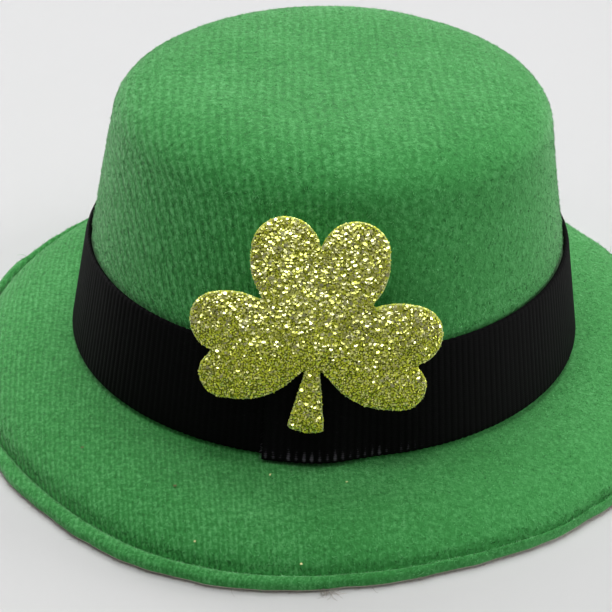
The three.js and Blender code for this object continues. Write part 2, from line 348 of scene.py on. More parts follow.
# Fibres: colour and the tint of their sheen.
FIBRE_LOOKS = {
    "nap_light": (KNIT_LIGHT, GREEN_SHEEN),
    "nap_middle": (KNIT_MID, GREEN_SHEEN),
    "nap_dark": (KNIT_DARK, GREEN_SHEEN),
    "backing_fibre_pale": ((208, 200, 190), GREY_SHEEN),
    "backing_fibre_dark": ((150, 142, 132), GREY_SHEEN),
    "yarn_black": (RIBBON_LIGHT, DARK_SHEEN),
    # Yarn ends in the painted highlight's colour.
    "yarn_highlight": (RIBBON_HIGHLIGHT, DARK_SHEEN),
    "lint": ((98, 100, 50), GREY_SHEEN),
}
# Flakes: colour, roughness and how metallic they are.
FLAKE_LOOKS = {
    "glitter_white_gold": ((244, 244, 178), 0.26, 1.0),
    "glitter_pale_gold": ((238, 240, 132), 0.28, 1.0),
    "glitter_bright_gold": ((250, 251, 150), 0.36, 0.6),
    "glitter_olive_gold": ((241, 246, 86), 0.42, 0.65),
    "glitter_lime_gold": ((222, 231, 56), 0.45, 0.4),
    "loose_glitter": ((252, 250, 176), 0.35, 0.0),
}

# The camera, from the photographed view of the hat.
CAMERA = SimpleNamespace(
    target=(-3.306, 0.0, 9.03),
    distance=450.0,
    elevation=math.radians(29.007),
    azimuth=math.radians(11.488),
    roll=math.radians(2.038),
    lens=155.815,
    sensor=36.0,
    clip_start=0.01,  # in metres
)
# Soft lights: place and size in metres, power in watts, spread in degrees.
LIGHT_ROWS = [
    ("sky_softbox", (-0.03, 0.46, 0.7), 0.6, 4.8, 180),
    ("left_rim", (-0.66, 0.46, 0.19), 0.24, 0.21, 50),
    ("right_window", (0.74, 0.3, 0.18), 0.24, 0.26, 50),
    ("front_softbox", (-0.05, -0.12, 0.75), 0.34, 2.0, 180),
    ("front_left", (-0.25, -0.42, 0.6), 0.09, 0.21, 180),
    ("front_right", (0.35, -0.37, 0.6), 0.09, 0.21, 180),
]
AIM = Vector((0.0, -0.01, 0.02))
WORLD_STRENGTH = 0.165
FLOOR_HALF = 3.0  # in metres


def ease(value, start, end):
    """A smooth step from 0 at start to 1 at end."""
    share = np.clip((value - start) / (end - start), 0.0, 1.0)
    return share * share * (3.0 - 2.0 * share)


def between(low, high, share):
    """A value or point part of the way from one to another."""
    return low + (high - low) * share


def swung(first, second, turn):
    """Directions turned by an angle from the first towards the second."""
    turn = np.asarray(turn)[..., None]
    return first * np.cos(turn) + second * np.sin(turn)


def unit(vectors):
    return vectors / np.maximum(np.linalg.norm(vectors, axis=-1, keepdims=True), TINY)


def linear(red, green, blue):
    """A linear colour from its eight-bit display values."""
    def one(value):
        value /= 255.0
        return value / 12.92 if value <= 0.04045 else ((value + 0.055) / 1.055) ** 2.4
    return (one(red), one(green), one(blue), 1.0)


def travelled(points):
    """Distance along rows of points from the first."""
    steps = np.linalg.norm(np.diff(points, axis=0), axis=-1)
    return np.concatenate([np.zeros_like(steps[:1]), np.cumsum(steps, axis=0)])


def even_path(points, step):
    """A polyline walked in equal steps."""
    lengths = travelled(points)
    places = np.linspace(0.0, lengths[-1], int(round(lengths[-1] / step)) + 1)
    return np.stack([np.interp(places, lengths, column) for column in points.T], axis=1)


def rounded_path(points, passes):
    """A polyline with its corners cut, its ends kept."""
    for _ in range(passes):
        before, after = points[:-1], points[1:]
        cut = np.stack([0.75 * before + 0.25 * after, 0.25 * before + 0.75 * after], axis=1)
        points = np.concatenate([points[:1], cut.reshape(-1, points.shape[1])[1:-1], points[-1:]])
    return points


def ring_quads(rows, count):
    """Faces between closed rings of equal point counts."""
    column = np.arange(count)
    beside = (column + 1) % count
    first = count * np.arange(rows - 1)[:, None]
    corners = [first + column, first + beside, first + count + beside, first + count + column]
    return np.stack(corners, axis=-1).reshape(-1, 4)


def repeated(pattern, count, step):
    """Faces of many like shapes, from those of one and the number of its points."""
    return (step * np.arange(count)[:, None, None] + np.array(pattern)).reshape(-1, len(pattern[0]))


def add_piece(name, points, faces, materials, face_slots=None, smooth=True):
    """A mesh piece that rides on the hat, from points in millimetres and arrays of equal-sided faces."""
    volume = 0.0
    for block in faces:
        for k in range(1, block.shape[1] - 1):
            a, b, c = points[block[:, 0]], points[block[:, k]], points[block[:, k + 1]]
            volume += np.einsum("ij,ij->i", a, np.cross(b, c)).sum()
    if volume < 0:
        faces = [block[:, ::-1] for block in faces]
    corners = np.concatenate([block.ravel() for block in faces]).astype(np.int32)
    sides = np.concatenate([np.full(len(block), block.shape[1]) for block in faces])
    starts = np.concatenate([[0], np.cumsum(sides)[:-1]]).astype(np.int32)
    mesh = bpy.data.meshes.new(name)
    mesh.vertices.add(len(points))
    mesh.vertices.foreach_set("co", (points * MM).astype(np.float32).ravel())
    mesh.loops.add(len(corners))
    mesh.loops.foreach_set("vertex_index", corners)
    mesh.polygons.add(len(sides))
    mesh.polygons.foreach_set("loop_start", starts)
    for material in materials:
        mesh.materials.append(material)
    if face_slots is not None:
        mesh.polygons.foreach_set("material_index", face_slots.astype(np.int32))
    mesh.polygons.foreach_set("use_smooth", np.full(len(sides), smooth))
    mesh.update(calc_edges=True)
    piece = bpy.data.objects.new(name, mesh)
    bpy.context.scene.collection.objects.link(piece)
    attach(piece, BODY)
    return piece


def set_pair(piece, name, first, second=0.0):
    """Two values for each point of a piece, for its material to read."""
    vectors = np.zeros((len(first), 3), np.float32)
    vectors[:, 0] = first
    vectors[:, 1] = second
    attribute = piece.data.attributes.new(name, "FLOAT_VECTOR", "POINT")
    attribute.data.foreach_set("vector", vectors.ravel())


SOCKETS = {
    "colour": "Base Color",
    "metallic": "Metallic",
    "roughness": "Roughness",
    "specular": "Specular IOR Level",
    "sheen": "Sheen Weight",
    "sheen_roughness": "Sheen Roughness",
    "sheen_tint": "Sheen Tint",
}


class Shader:
    """A material and short calls for the nodes that it is built from."""

    def __init__(self, name):
        self.material = bpy.data.materials.new(name)
        self.material.use_nodes = True
        self.tree = self.material.node_tree
        self.surface = self.tree.nodes["Principled BSDF"]

    def put(self, socket, value):
        """Link a socket, or set its number or its display colour."""
        if isinstance(value, bpy.types.NodeSocket):
            self.tree.links.new(value, socket)
        else:
            socket.default_value = linear(*value) if isinstance(value, tuple) else value

    def set(self, **values):
        for name, value in values.items():
            self.put(self.surface.inputs[SOCKETS[name]], value)
        return self

    def node(self, kind, inputs):
        """A new node with its inputs linked or set."""
        node = self.tree.nodes.new("ShaderNode" + kind)
        for name, value in inputs.items():
            self.put(node.inputs[name], value)
        return node

    def object_place(self):
        return self.node("TexCoord", {}).outputs["Object"]

    def vectors(self, name):
        node = self.node("Attribute", {})
        node.attribute_name = name
        return node.outputs["Vector"]

    def split(self, vector):
        node = self.node("SeparateXYZ", {0: vector})
        return node.outputs["X"], node.outputs["Y"]

    def join(self, x, y):
        return self.node("CombineXYZ", {"X": x, "Y": y}).outputs[0]

    def math(self, operation, a, b=0.0):
        node = self.node("Math", {0: a, 1: b})
        node.operation = operation
        return node.outputs[0]

    def times(self, a, b):
        return self.math("MULTIPLY", a, b)

    def noise(self, vector, scale, detail=2.0, roughness=0.5):
        inputs = {"Vector": vector, "Scale": scale, "Detail": detail, "Roughness": roughness}
        return self.node("TexNoise", inputs).outputs["Fac"]

    def total(self, *parts):
        """A weighted sum of (weight, value) pairs."""
        result = None
        for weight, value in parts:
            term = self.times(value, weight)
            result = term if result is None else self.math("ADD", result, term)
        return result

    def ramp(self, factor, *stops):
        """A colour along (place, display colour) stops."""
        node = self.node("ValToRGB", {"Fac": factor})
        elements = node.color_ramp.elements
        while len(elements) < len(stops):
            elements.new(1.0)
        for element, (place, colour) in zip(elements, stops):
            element.position = place
            element.color = linear(*colour)
        return node.outputs["Color"]

    def span(self, value, low, high):
        """A value from 0 to 1 taken to the span from low to high."""
        return self.node("MapRange", {"Value": value, "To Min": low, "To Max": high}).outputs[0]

    def bump(self, height, strength, depth):
        node = self.node("Bump", {"Strength": strength, "Distance": depth * MM, "Height": height})
        self.put(self.surface.inputs["Normal"], node.outputs["Normal"])
        return self


def knit_material():
    """Brushed knit: wales along the fabric, broken tufts on them and a fine fuzz over all."""
    knit = Shader("green_knit")
    place = knit.object_place()
    fabric = knit.vectors("fabric")
    u, v = knit.split(fabric)
    # The crease value darkens the knit there: painted shade in the crease.
    crease_darkening, _ = knit.split(knit.vectors("crease_shade"))
    drawn, brushed = knit.split(knit.vectors("drawn"))
    drift = knit.span(knit.noise(fabric, 0.11), -1.6, 1.6)
    across = knit.math("ADD", knit.times(u, 2 * math.pi / WALE_PITCH), drift)
    wale = knit.times(knit.math("COSINE", across), knit.span(brushed, 1.1, 0.2))
    tuft = knit.noise(knit.join(knit.times(u, 1.1), knit.times(v, 0.55)), 1.5, 2.0, 0.6)
    clump = knit.noise(place, 1300.0, 2.0, 0.6)
    fuzz = knit.noise(place, 3200.0, 3.0, 0.65)
    dash = knit.noise(knit.join(knit.times(u, 2.0), v), 1.6, 2.0, 0.65)
    wear_and_highlight = knit.noise(place, 55.0, 2.0)
    lines = knit.total((1.0, knit.math("SUBTRACT", dash, 0.5)), (0.04, wale))
    # Dashes on the steep wall: partly the knit's own texture, partly painted shade of tufts under
    # grazing light.
    grain = knit.times(knit.times(lines, drawn), knit.span(brushed, 1.0, 0.15))
    height = knit.total((0.14, wale), (0.35, tuft), (0.5, clump), (0.5, fuzz), (0.9, grain))
    tone = knit.total(
        (0.05, wale), (0.3, tuft), (0.6, clump), (0.4, fuzz), (0.2, wear_and_highlight), (-0.34, crease_darkening), (1.0, grain),
    )
    contrast = knit.span(brushed, 1.0, 0.7)
    spread = knit.times(knit.math("SUBTRACT", tone, KNIT_MEAN), contrast)
    tone = knit.math("ADD", spread, KNIT_MEAN)
    colour = knit.ramp(tone, (0.46, KNIT_DARK), (0.74, KNIT_MID), (1.0, KNIT_LIGHT))
    knit.set(colour=colour, roughness=0.92, specular=0.2)
    knit.set(sheen=0.5, sheen_roughness=0.45, sheen_tint=GREEN_SHEEN)
    return knit.bump(knit.times(height, contrast), 0.55, 0.35).material


def mottled_material(name, grain, patch, share, stops, bump, roughness, **look):
    """A raised fine grain over wider patches; a pair of roughnesses follows the grain."""
    shader = Shader(name)
    place = shader.object_place()
    fine = shader.noise(place, *grain)
    tone = shader.total((share, fine), (1.0 - share, shader.noise(place, *patch)))
    if isinstance(roughness, tuple):
        roughness = shader.span(fine, *roughness)
    shader.set(colour=shader.ramp(tone, *stops), roughness=roughness, **look)
    return shader.bump(fine, *bump).material


def backing_material():
    """The soft grey backing inside the hat."""
    return mottled_material(
        "grey_backing", grain=(900.0, 4.0, 0.7), patch=(90.0, 3.0), share=0.6,
        stops=[(0.3, (150, 142, 138)), (0.7, (192, 186, 180))],
        bump=(0.6, 0.25), roughness=0.95, specular=0.15, sheen=0.2,
    )


def cut_edge_material():
    """The cut edge of the backing, layered and fuzzy."""
    return mottled_material(
        "cut_backing_edge", grain=(2600.0, 3.0, 0.7), patch=(160.0, 3.0), share=0.55,
        stops=[(0.34, (164, 160, 140)), (0.66, (230, 226, 212))],
        bump=(0.8, 0.25), roughness=0.95, specular=0.1,
    )


def foam_side_material():
    """The plain cut sides and back of the foam, with its fine cells."""
    return mottled_material(
        "lime_foam", grain=(2200.0, 3.0, 0.6), patch=(240.0, 2.0), share=0.6,
        stops=[(0.34, (156, 178, 86)), (0.66, (208, 217, 160))],
        bump=(0.5, 0.12), roughness=0.7, specular=0.3,
    )


def glue_material():
    """The tinted glue that the glitter lies in."""
    return mottled_material(
        "gold_glitter_ground", grain=(2600.0, 3.0, 0.7), patch=(260.0, 2.0), share=0.65,
        stops=[(0.34, (72, 80, 2)), (0.68, (158, 166, 30))],
        bump=(0.9, 0.2), roughness=(0.25, 0.6), metallic=0.5,
    )


def fibre_material(name, colour, tint):
    fibre = Shader(name).set(colour=colour, roughness=0.85, specular=0.2)
    return fibre.set(sheen=0.45, sheen_roughness=0.4, sheen_tint=tint).material


def flake_material(name, colour, roughness, metallic):
    return Shader(name).set(colour=colour, roughness=roughness, metallic=metallic).material


def ribbon_material():
    """Ribbed weave: fine yarns across each rib, and a painted highlight on the rib crests at the lap's
    lower edge.
    """
    ribbon = Shader("black_ribbed_ribbon")
    along, up = ribbon.split(ribbon.vectors("weave"))
    yarn = ribbon.math("SINE", ribbon.times(up, 2 * math.pi / YARN_PITCH))
    rib = ribbon.math("COSINE", ribbon.times(along, 2 * math.pi / RIB_PITCH))
    lint = ribbon.noise(ribbon.object_place(), 1500.0, 4.0, 0.7)
    # The pale tone on the lap's lower ribs is painted highlight.
    painted_highlight, _ = ribbon.split(ribbon.vectors("wear_and_highlight"))
    tone = ribbon.total((-0.1, rib), (0.05, yarn), (0.6, lint), (0.78, painted_highlight))
    ribbon.set(colour=ribbon.ramp(tone, (0.22, RIBBON_DARK), (0.55, RIBBON_LIGHT), (0.95, RIBBON_HIGHLIGHT)))
    ribbon.set(roughness=ribbon.span(lint, 0.65, 0.9), specular=0.07)
    return ribbon.bump(ribbon.total((0.5, yarn), (0.8, lint)), 0.4, 0.08).material


def steel_material():
    """Plated spring steel with fine rolling marks along it."""
    steel = Shader("plated_clip_steel")
    x, y = steel.split(steel.object_place())
    marks = steel.noise(steel.join(steel.times(x, 0.04), y), 5200.0, 3.0, 0.6)
    stain = steel.noise(steel.object_place(), 320.0, 3.0)
    colour = steel.ramp(stain, (0.35, (176, 178, 182)), (0.65, (192, 194, 198)))
    steel.set(colour=colour, metallic=1.0, roughness=steel.span(marks, 0.2, 0.42))
    return steel.bump(marks, 0.2, 0.03).material


def floor_material():
    floor = Shader("pale_floor")
    cloud = floor.noise(floor.object_place(), 3.0, 3.0)
    floor.set(colour=floor.ramp(cloud, (0.3, (207, 207, 208)), (0.7, (213, 213, 213))))
    return floor.set(roughness=0.7, specular=0.2).material


def stray(angle):
    """How far the brim strays outwards at each angle."""
    rows = STRAY_ROWS + [(STRAY_ROWS[0][0] + 360, STRAY_ROWS[0][1])]
    first = rows[0][0]
    degrees = (np.degrees(angle) - first) % 360 + first
    out = np.zeros_like(angle)
    for (start, low), (end, high) in zip(rows[:-1], rows[1:]):
        inside = (degrees >= start) & (degrees < end)
        out = np.where(inside, between(low, high, ease(degrees, start, end)), out)
    return out


def on_oval(angle, half_width, half_length, x=0.0, y=0.0):
    return np.stack([x + half_width * np.sin(angle), y - half_length * np.cos(angle)], axis=-1)


def on_wall(angle, z, out):
    """Points beside the crown's wall, a distance out from it."""
    share = (z - CROWN.foot_z) / (CROWN.rim_z - CROWN.foot_z)
    half = between(CROWN.foot_half_width, CROWN.rim_half_width, share)
    flat = on_oval(angle, half + out, half * OVAL + out)
    return np.concatenate([flat, np.broadcast_to(z, angle.shape)[..., None]], axis=-1)


def drawn_back(flat, z):
    """A row of the crown with its front half drawn back towards the top."""
    height = max(0.0, (z - CROWN.pull_z) / (CROWN.top_z - CROWN.pull_z))
    front = flat[:, 1:] < 0
    return flat * np.where(front, (1.0, 1.0 - CROWN.front_pull * height ** 2), 1.0)


def crown_rows():
    """Half width and height of the crown's rows from its centre to the foot."""
    turn = np.radians(np.linspace(90.0, 0.0, CROWN.cap_steps))
    cap_width = CROWN.rim_half_width * np.maximum(np.cos(turn), 0.0) ** (2.0 / CROWN.squareness)
    cap_width[0] = 0.0
    cap_z = between(CROWN.rim_z, CROWN.top_z, np.sin(turn))
    cap = np.stack([cap_width, cap_z], axis=1)
    foot = np.array([[CROWN.foot_half_width, CROWN.foot_z]])
    rows = even_path(np.concatenate([cap, foot]), FELT_STEP)
    for _ in range(CROWN.smoothing):
        rows[1:-1] = 0.25 * rows[:-2] + 0.5 * rows[1:-1] + 0.25 * rows[2:]
    return rows


def steepness(normals):
    """How steep the felt is: 0 on the brim and the top, 1 on the wall."""
    return ease(1.0 - normals[..., 2], *STEEP)


def face_normals(grid):
    """Normals of a grid of rows round the hat, facing out."""
    down = np.gradient(grid, axis=0)
    round_hat = np.roll(grid, -1, axis=1) - np.roll(grid, 1, axis=1)
    normals = np.cross(down, round_hat)
    normals[0] = (0.0, 0.0, 1.0)
    return unit(normals)


class Felt:
    """The felt's outer face as rows round the hat, its normals, and the fabric drawn over it."""

    def __init__(self):
        self.angles = np.arange(FELT_AROUND) * 2 * np.pi / FELT_AROUND
        self.edge = self.edge_points()
        crease = self.crease_points()
        rows = crown_rows()
        foot = on_oval(self.angles, rows[-1, 0], rows[-1, 0] * OVAL)
        blocks = [drawn_back(on_oval(self.angles, width, width * OVAL), z) for width, z in rows]
        heights = [z for _, z in rows]
        for share, z in rounded_path(np.array(BRIM_ROWS), BRIM.rounding)[1:]:
            blocks.append(between(foot, crease, share))
            heights.append(z)
        self.crease_row = len(blocks) - 1
        for share, z in FLANGE_ROWS:
            blocks.append(between(crease, self.edge, share))
            heights.append(z)
        grid = np.zeros((len(blocks), FELT_AROUND, 3))
        grid[..., :2] = np.stack(blocks)
        grid[..., 2] = np.array(heights)[:, None]
        width = np.linalg.norm(self.edge - crease, axis=1)
        self.swell = between(NARROW_SWELL, 1.0, ease(width, NARROW_FLANGE, WIDE_FLANGE))
        grid[self.crease_row:, :, 2] = self.swollen(grid[self.crease_row:, :, 2])
        self.travel = travelled(grid)
        self.rho = np.interp(self.travel, *np.array(STRETCH_ROWS, float).T)
        self.reach = self.rho.max()
        places = np.linspace(0.0, self.reach, FABRIC_STEPS)
        numbers = np.arange(len(grid))
        self.row_at = np.stack([np.interp(places, column, numbers) for column in self.rho.T])
        self.grid = grid + face_normals(grid) * self.wave()[..., None]
        self.normals = face_normals(self.grid)

    def swollen(self, z):
        """Heights on the flange, brought down where it is narrow."""
        return np.where(z > CREASE_Z, CREASE_Z + (z - CREASE_Z) * self.swell, z)

    def edge_points(self):
        out = stray(self.angles)
        for waves, start, height in TRIM_ROWS:
            out = out + height * np.sin(waves * self.angles + start)
        return on_oval(self.angles, BRIM.edge_half_width + out, BRIM.edge_half_length + out)

    def crease_points(self):
        out = stray(self.angles)
        half_width, half_length = BRIM.crease_half_width + out, BRIM.crease_half_length + out
        crease = on_oval(self.angles, half_width, half_length, BRIM.crease_x, BRIM.crease_y)
        most = np.linalg.norm(self.edge, axis=1) - BRIM.least_flange
        return crease * np.minimum(1.0, most / np.linalg.norm(crease, axis=1))[:, None]

    def wave(self):
        """Low unevenness of the pressed form, none on the flange."""
        total = np.zeros_like(self.travel)
        for waves, turn, start, height in WAVE_ROWS:
            total += height * np.sin(waves * self.angles + turn * self.travel + start)
        fade_from, fade_to = (self.travel[-1] - distance for distance in WAVE_FADE)
        return total * ease(self.travel, *WAVE_RISE) * (1.0 - ease(self.travel, fade_from, fade_to))

    def at(self, u, v):
        """Points, normals and rows of the face at places in the flat fabric."""
        column = (np.arctan2(u, v) + WALE_AXIS) / (2 * np.pi) * FELT_AROUND
        left = np.floor(column).astype(int)
        over = (column - left)[:, None]
        left %= FELT_AROUND
        right = (left + 1) % FELT_AROUND
        place = np.hypot(u, v) / self.reach * (FABRIC_STEPS - 1)
        step = np.clip(place.astype(int), 0, FABRIC_STEPS - 2)

        def row_on(columns):
            return between(self.row_at[columns, step], self.row_at[columns, step + 1], place - step)

        row = np.clip(between(row_on(left), row_on(right), over[:, 0]), 0, len(self.rho) - 1)
        upper = np.minimum(row.astype(int), len(self.rho) - 2)
        down = (row - upper)[:, None]

        def mixed(values):
            top = between(values[upper, left], values[upper, right], over)
            low = between(values[upper + 1, left], values[upper + 1, right], over)
            return between(top, low, down)

        return mixed(self.grid), unit(mixed(self.normals)), row

    def on_brim(self, x, y):
        """The point and normal of the brim's top face above a place on the floor."""
        distance = np.linalg.norm(self.grid[..., :2] - np.array([x, y]), axis=2)
        distance = np.where(self.grid[..., 2] < CROWN.foot_z, distance, np.inf)
        row, column = np.unravel_index(np.argmin(distance), distance.shape)
        return self.grid[row, column], self.normals[row, column]


def brushing(points):
    """How far the brushed nap hides the wales."""
    x, z = points[..., 0], points[..., 2]
    wall = ease(x, *BRUSHED_WALL)
    rim_from, rim_to = (CROWN.top_z - distance for distance in BRUSHED_RIM)
    crown = between(wall, BRUSHED_TOP, ease(z, rim_from, rim_to))
    return np.where(z < CROWN.foot_z + BRUSHED_FOOT, ease(x, *BRUSHED_BRIM), crown)


def build_felt(felt, materials):
    """The hat's body: the knit face, the cut edge and the backing inside, as one closed skin."""
    insets, levels = np.array(CUT_ROWS).T[..., None]
    cut = np.zeros((len(CUT_ROWS), FELT_AROUND, 3))
    cut[..., :2] = felt.edge - unit(felt.edge) * insets[..., None]
    cut[..., 2] = felt.swollen(levels)
    inner = felt.grid - felt.normals * WALL
    inner[felt.crease_row] = felt.grid[felt.crease_row] * (1.0, 1.0, 0.0)
    inner[..., 2] = np.maximum(inner[..., 2], 0.0)
    outer_count = len(felt.grid) - 1
    rings = np.concatenate([felt.grid[1:], cut, inner[felt.crease_row:0:-2]])
    top = felt.grid[0].mean(axis=0)
    under = top - np.array([0.0, 0.0, WALL])
    points = np.concatenate([rings.reshape(-1, 3), top[None], under[None]])
    column = np.arange(FELT_AROUND)
    beside = (column + 1) % FELT_AROUND
    last = (len(rings) - 1) * FELT_AROUND
    top_fan = np.stack([np.full(FELT_AROUND, len(points) - 2), column, beside], axis=1)
    under_fan = np.stack([np.full(FELT_AROUND, len(points) - 1), last + beside, last + column], axis=1)
    quads = ring_quads(len(rings), FELT_AROUND)[:, [0, 3, 2, 1]]
    ring_slots = np.zeros(len(rings) - 1, int)
    ring_slots[outer_count + GREEN_CUT_ROWS:] = 1
    ring_slots[outer_count + len(CUT_ROWS) - 1:] = 2
    face_slots = np.repeat(np.append(ring_slots, [0, 2]), FELT_AROUND)
    faces = [quads, np.concatenate([top_fan, under_fan])]
    piece = add_piece("hat_felt", points, faces, materials, face_slots)

    def on_points(rows, middles=(0.0, 0.0)):
        """Values on the first rings, none on the others, then on the two middle points."""
        values = np.zeros(rings.shape[:2])
        values[:len(rows)] = rows
        return np.append(values, middles)

    beyond = FABRIC_TURN * np.arange(1, len(rings) - outer_count + 1)[:, None]
    rho = np.concatenate([felt.rho[1:], felt.rho[-1:] + beyond])
    turned = felt.angles - WALE_AXIS
    set_pair(piece, "fabric", on_points(rho * np.sin(turned)), on_points(rho * np.cos(turned)))
    from_crease = (felt.travel - felt.travel[felt.crease_row])[1:]
    # Nearness to the crease, for the painted shade there.
    set_pair(piece, "crease_shade", on_points(np.exp(-((from_crease / CREASE_SHADE_REACH) ** 2))))
    drawn = on_points(steepness(felt.normals[1:]))
    set_pair(piece, "drawn", drawn, on_points(brushing(rings), (BRUSHED_TOP, 0.0)))
    lay_out(piece, rings, top, under, outer_count + len(CUT_ROWS))
    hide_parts("hat_body")


def lay_out(piece, rings, top, under, outer_rings):
    """A flat layout of the body: a large disc for the outside and a small one for the inside."""
    ring_count = len(rings)
    path = np.concatenate([top + 0 * rings[:1], rings, under + 0 * rings[:1]])
    travel = travelled(path).mean(axis=1)[1:]
    outside = travel[:ring_count] / travel[outer_rings - 1]
    inside = (travel[-1] - travel[:ring_count]) / (travel[-1] - travel[outer_rings - 1])
    turn = np.arange(FELT_AROUND) * 2 * np.pi / FELT_AROUND

    def on_disc(x, y, radius, reach):
        reach = radius * reach[:, None]
        return np.concatenate([on_oval(turn, reach, -reach, x, y).reshape(-1, 2), [(x, y), (x, y)]])

    mesh = piece.data
    corners = np.zeros(len(mesh.loops), np.int32)
    mesh.loops.foreach_get("vertex_index", corners)
    starts = np.zeros(len(mesh.polygons), np.int32)
    mesh.polygons.foreach_get("loop_start", starts)
    inner_face = np.zeros(len(starts), bool)
    inner_face[(outer_rings - 1) * FELT_AROUND:(ring_count - 1) * FELT_AROUND] = True
    inner_face[-FELT_AROUND:] = True
    inner_corner = np.repeat(inner_face, np.diff(np.append(starts, len(corners))))[:, None]
    inside_places = on_disc(*INSIDE_DISC, inside)[corners]
    places = np.where(inner_corner, inside_places, on_disc(*OUTSIDE_DISC, outside)[corners])
    layer = mesh.uv_layers.new(name="OFBake")
    layer.data.foreach_set("uv", places.astype(np.float32).ravel())


def spikes(roots, normals, directions, lengths, widths):
    """Closed four-faced fibres, each from a root just under the surface to a point."""
    across = unit(np.cross(directions, normals))
    other = np.cross(directions, across)
    base = roots - normals * NAP.sink
    corners = [base + swung(across, other, turn) * widths[:, None] / 2 for turn in THIRDS]
    tips = base + directions * lengths[:, None]
    points = np.stack(corners + [tips], axis=1)
    middle = points.mean(axis=1, keepdims=True)
    facing = unit(normals[:, None] + NAP.roundness * unit(points - middle))
    faces = repeated([[0, 2, 1], [0, 1, 3], [1, 2, 3], [2, 0, 3]], len(roots), 4)
    return points.reshape(-1, 3), faces, facing.reshape(-1, 3)


def build_nap(felt, tones):
    """The brushed fibres that stand on the wales, in one piece for each part of the hat."""
    rng = np.random.default_rng(SEED)
    reach = felt.reach
    count = NAP.count
    wales = np.round(rng.uniform(-reach, reach, count) / WALE_PITCH)
    tufts = np.round(rng.uniform(-reach, reach, count) / TUFT_PITCH)
    _, tuft = np.unique(wales * NAP.wale_tufts + tufts, return_inverse=True)
    shared = rng.normal(0.0, 1.0, (tuft.max() + 1, 4))[tuft]
    tuft_across, tuft_along = NAP.tuft_stray
    across, along = NAP.stray
    u = (wales + tuft_across * shared[:, 2] + rng.normal(0.0, across, count)) * WALE_PITCH
    v = (tufts + tuft_along * shared[:, 3] + rng.normal(0.0, along, count)) * TUFT_PITCH
    inside = np.hypot(u, v) < reach
    u, v, shared = u[inside], v[inside], shared[inside]
    n = len(u)
    _, normals, row = felt.at(u, v)
    steep = steepness(normals)
    u += NAP.flat_scatter * (1.0 - steep) * rng.normal(0.0, 1.0, n)
    flange_scatter = rng.uniform(-NAP.flange_scatter, NAP.flange_scatter, n)
    u += np.where(row > felt.crease_row, flange_scatter, 0.0)
    roots, normals, row = felt.at(u, v)
    ahead, _, _ = felt.at(u, v + NAP.ahead)
    along = unit(ahead - roots)
    beside = np.cross(normals, along)
    turn = NAP.tuft_turn * shared[:, 1] + rng.normal(0.0, NAP.turn, n)
    turn += np.where(rng.random(n) < NAP.backward, np.pi, 0.0)
    lean = np.radians(rng.uniform(*NAP.lean, n))
    directions = unit(swung(swung(along, beside, turn), normals, lean))
    lengths = rng.uniform(*NAP.length, n)
    lengths *= 1.0 + NAP.tuft_length * np.clip(shared[:, 0], -NAP.tuft_limit, NAP.tuft_limit)
    widths = rng.uniform(*NAP.width, n)
    # The wider tone spread on the wall is partly painted shade between tufts.
    spread = between(NAP.flat_spread, NAP.wall_spread, steep)
    shade = spread * (NAP.tuft_tone * shared[:, 0] + NAP.tone * rng.normal(0.0, 1.0, n))
    from_crease = np.abs(row - felt.crease_row)
    # Fibres beside the crease are painted darker, as shade in the crease.
    shade -= NAP.crease_shade_tone * (from_crease < NAP.crease_shade_rows)
    tone = 2 - np.digitize(shade, NAP.tones)
    z = roots[:, 2]
    foot = CROWN.foot_half_width + NAP.foot_margin
    on_crown = np.hypot(roots[:, 0], roots[:, 1] / OVAL) < foot
    hidden = on_crown & (z < BAND.bottom_z + BAND.height - NAP.tucked)
    hidden |= row > len(felt.rho) - NAP.edge_rows
    hidden |= from_crease < NAP.bare_rows
    parts = {
        "nap_crown_top": on_crown & (z > NAP.top_z),
        "nap_crown_wall": on_crown & (z <= NAP.top_z),
        "nap_brim": ~on_crown,
    }
    for name, part in parts.items():
        picks = np.flatnonzero(part & ~hidden)[:NAP.most]
        chosen = [values[picks] for values in (roots, normals, directions, lengths, widths)]
        points, faces, facing = spikes(*chosen)
        piece = add_piece(name, points, [faces], tones, np.repeat(tone[picks], 4))
        piece.data.normals_split_custom_set_from_vertices(facing)


def add_tubes(name, paths, radii, materials, slots):
    """A piece of closed three-sided tubes along short paths of equal point counts."""
    count, steps, _ = paths.shape
    along = unit(np.gradient(paths, axis=1))
    side = unit(np.cross(along, TUBE_HELPER))
    other = np.cross(along, side)
    taper = np.linspace(1.0, TUBE_TIP, steps)[None, :, None]
    rings = [paths + swung(side, other, turn) * radii[:, None, None] * taper for turn in THIRDS]
    points = np.stack(rings, axis=2).reshape(-1, 3)
    pattern = [[0, 2, 1], [3 * steps - 3, 3 * steps - 2, 3 * steps - 1]]
    for a, b, c, d in ring_quads(steps, 3):
        pattern += [[a, b, c], [a, c, d]]
    faces = repeated(pattern, count, 3 * steps)
    add_piece(name, points, [faces], materials, np.repeat(slots, len(pattern)))


